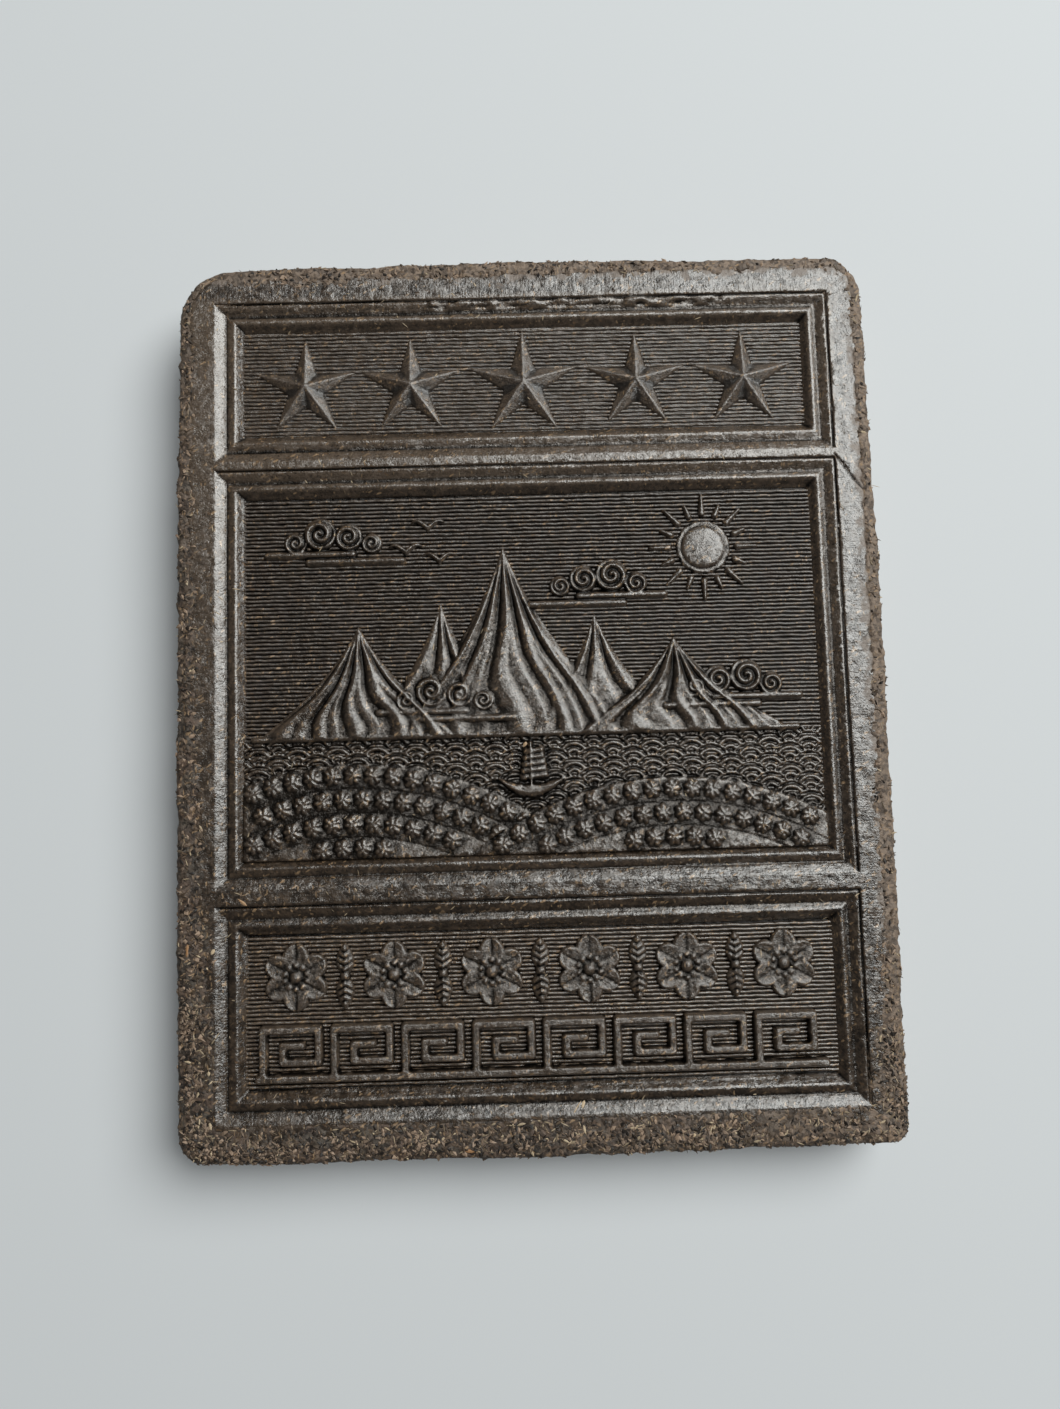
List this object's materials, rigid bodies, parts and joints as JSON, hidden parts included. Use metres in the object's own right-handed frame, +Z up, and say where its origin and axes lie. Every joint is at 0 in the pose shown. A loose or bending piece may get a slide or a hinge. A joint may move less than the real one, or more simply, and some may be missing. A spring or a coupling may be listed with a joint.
{
  "type": "black tea brick",
  "caption": "Flat rectangular brick of pressed black tea with rounded crumbling edges and a moulded face of framed panels in low relief.",
  "frame": {"origin": "middle of the underside", "axes": "+Y towards the top of the moulded face, +Z up out of the face, which lies upwards"},
  "size_m": [0.187, 0.237, 0.02],
  "materials": {
    "pressed_tea": "satin pressed leaf dust with tan flecks"
  },
  "bodies": {
    "root": {"tea_brick": "pressed_tea"}
  },
  "joints": []
}
